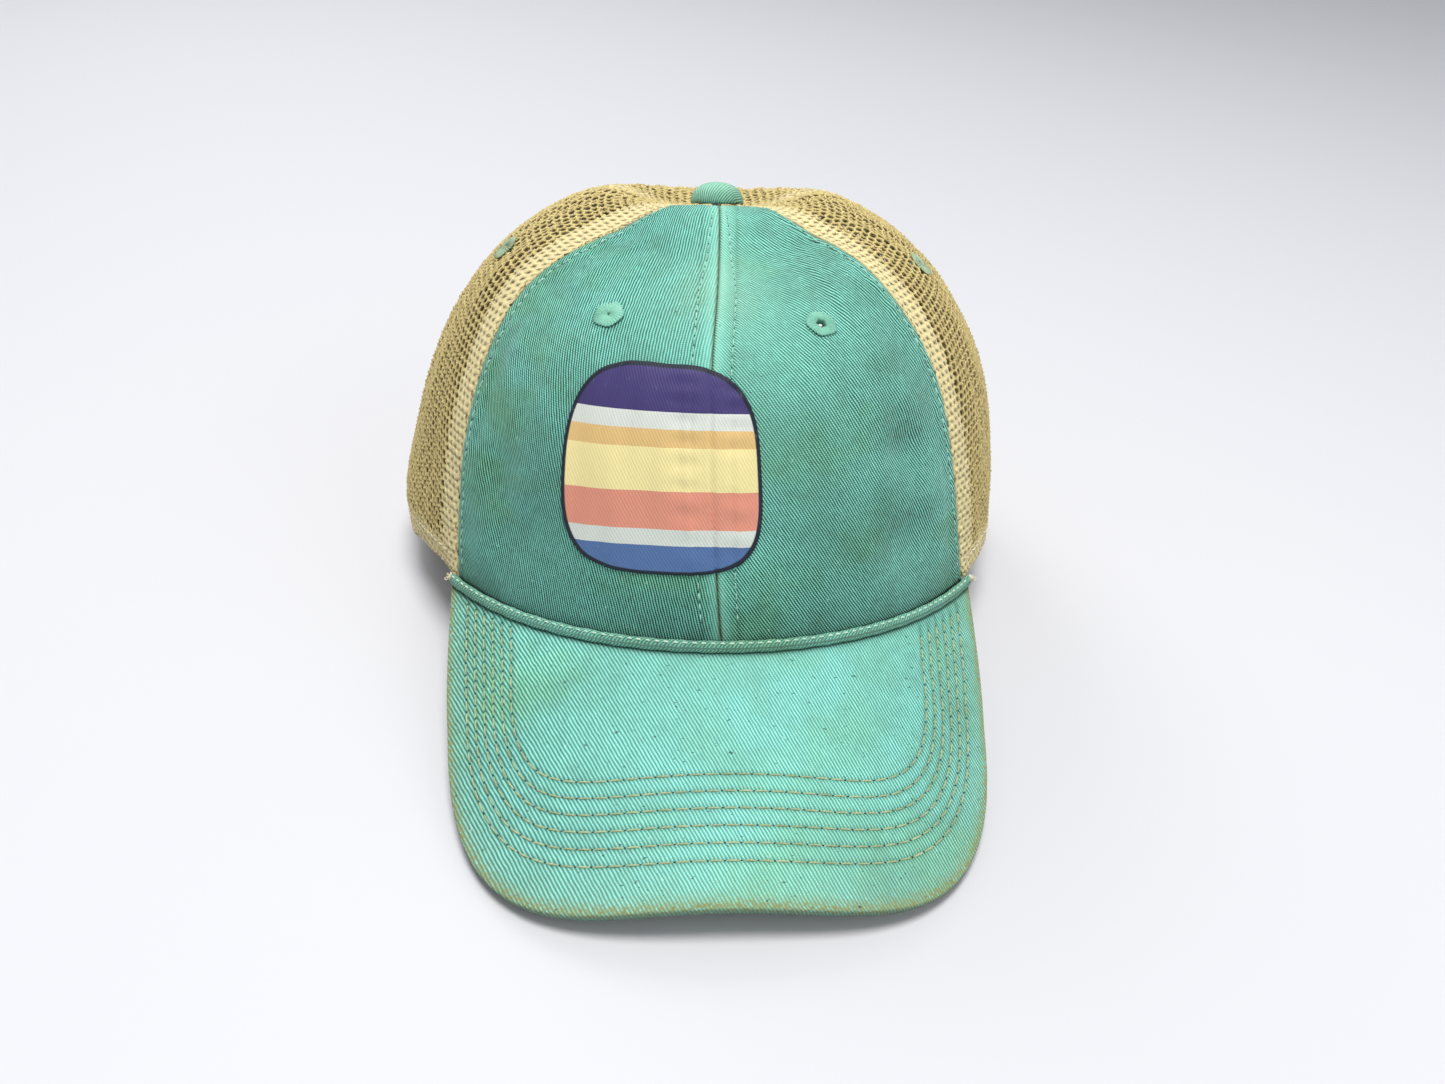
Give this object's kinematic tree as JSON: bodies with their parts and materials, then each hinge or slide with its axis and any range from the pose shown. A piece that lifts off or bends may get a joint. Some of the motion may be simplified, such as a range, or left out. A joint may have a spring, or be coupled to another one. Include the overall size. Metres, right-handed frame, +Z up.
{
  "type": "mesh-back cap",
  "caption": "Mesh-back cap with twill front panels, a curved stitched visor, a covered top button, an inner sweatband and a hinged plastic snap closure at the back.",
  "frame": {"origin": "centre of the bounding box in plan, at the level the cap stands on", "axes": "+Z up, the visor points to -Y and the snap closure is at +Y; +X is to the right seen from in front of the visor"},
  "size_m": [0.192, 0.2616, 0.1258],
  "materials": {
    "front_twill": "washed cotton twill",
    "visor_twill": "washed cotton twill, paler and worn",
    "knit_mesh": "open knitted polyester mesh",
    "visor_board": "matt",
    "sweatband_cotton": "plain cotton band",
    "binding_tape": "woven tape",
    "seam_tape": "woven tape",
    "eyelet_thread": "stitched thread",
    "button_metal": "plain",
    "snap_plastic": "moulded, slightly soft",
    "print_film": "soft heat-pressed print"
  },
  "bodies": {
    "cap": {"front_panel_left": "front_twill", "front_panel_right": "front_twill", "front_seam_welt": "front_twill", "button_cover": "front_twill", "side_mesh_panel_left": "knit_mesh", "side_mesh_panel_right": "knit_mesh", "back_mesh_panel_left": "knit_mesh", "back_mesh_panel_right": "knit_mesh", "visor_top_cover": "visor_twill", "visor_under_cover": "visor_twill", "visor_board": "visor_board", "sweatband": "sweatband_cotton", "back_opening_binding": "binding_tape", "seam_tape_front_center": "seam_tape", "seam_tape_front_left": "seam_tape", "seam_tape_front_right": "seam_tape", "seam_tape_rear_left": "seam_tape", "seam_tape_rear_right": "seam_tape", "seam_tape_back_center": "seam_tape", "button_core": "button_metal", "button_backing": "button_metal", "hole_strap_root": "snap_plastic", "peg_strap_root": "snap_plastic", "front_print": "print_film", "eyelet_front_left": "eyelet_thread", "eyelet_front_right": "eyelet_thread", "eyelet_side_left": "eyelet_thread", "eyelet_side_right": "eyelet_thread", "eyelet_back_left": "eyelet_thread", "eyelet_back_right": "eyelet_thread"},
    "hole_strap": {"hole_strap": "snap_plastic"},
    "peg_strap": {"peg_strap": "snap_plastic"}
  },
  "joints": [
    {"name": "hole_strap_flex", "type": "hinge", "parent": "cap", "child": "hole_strap", "pos_m": [-0.0404, 0.12104, 0.01264], "axis": [0, 0, 1], "range_deg": [0, 80], "stiffness_Nm_per_rad": 0.02},
    {"name": "peg_strap_flex", "type": "hinge", "parent": "cap", "child": "peg_strap", "pos_m": [0.03975, 0.11957, 0.01264], "axis": [0, 0, 1], "range_deg": [0, 35], "stiffness_Nm_per_rad": 0.02}
  ]
}
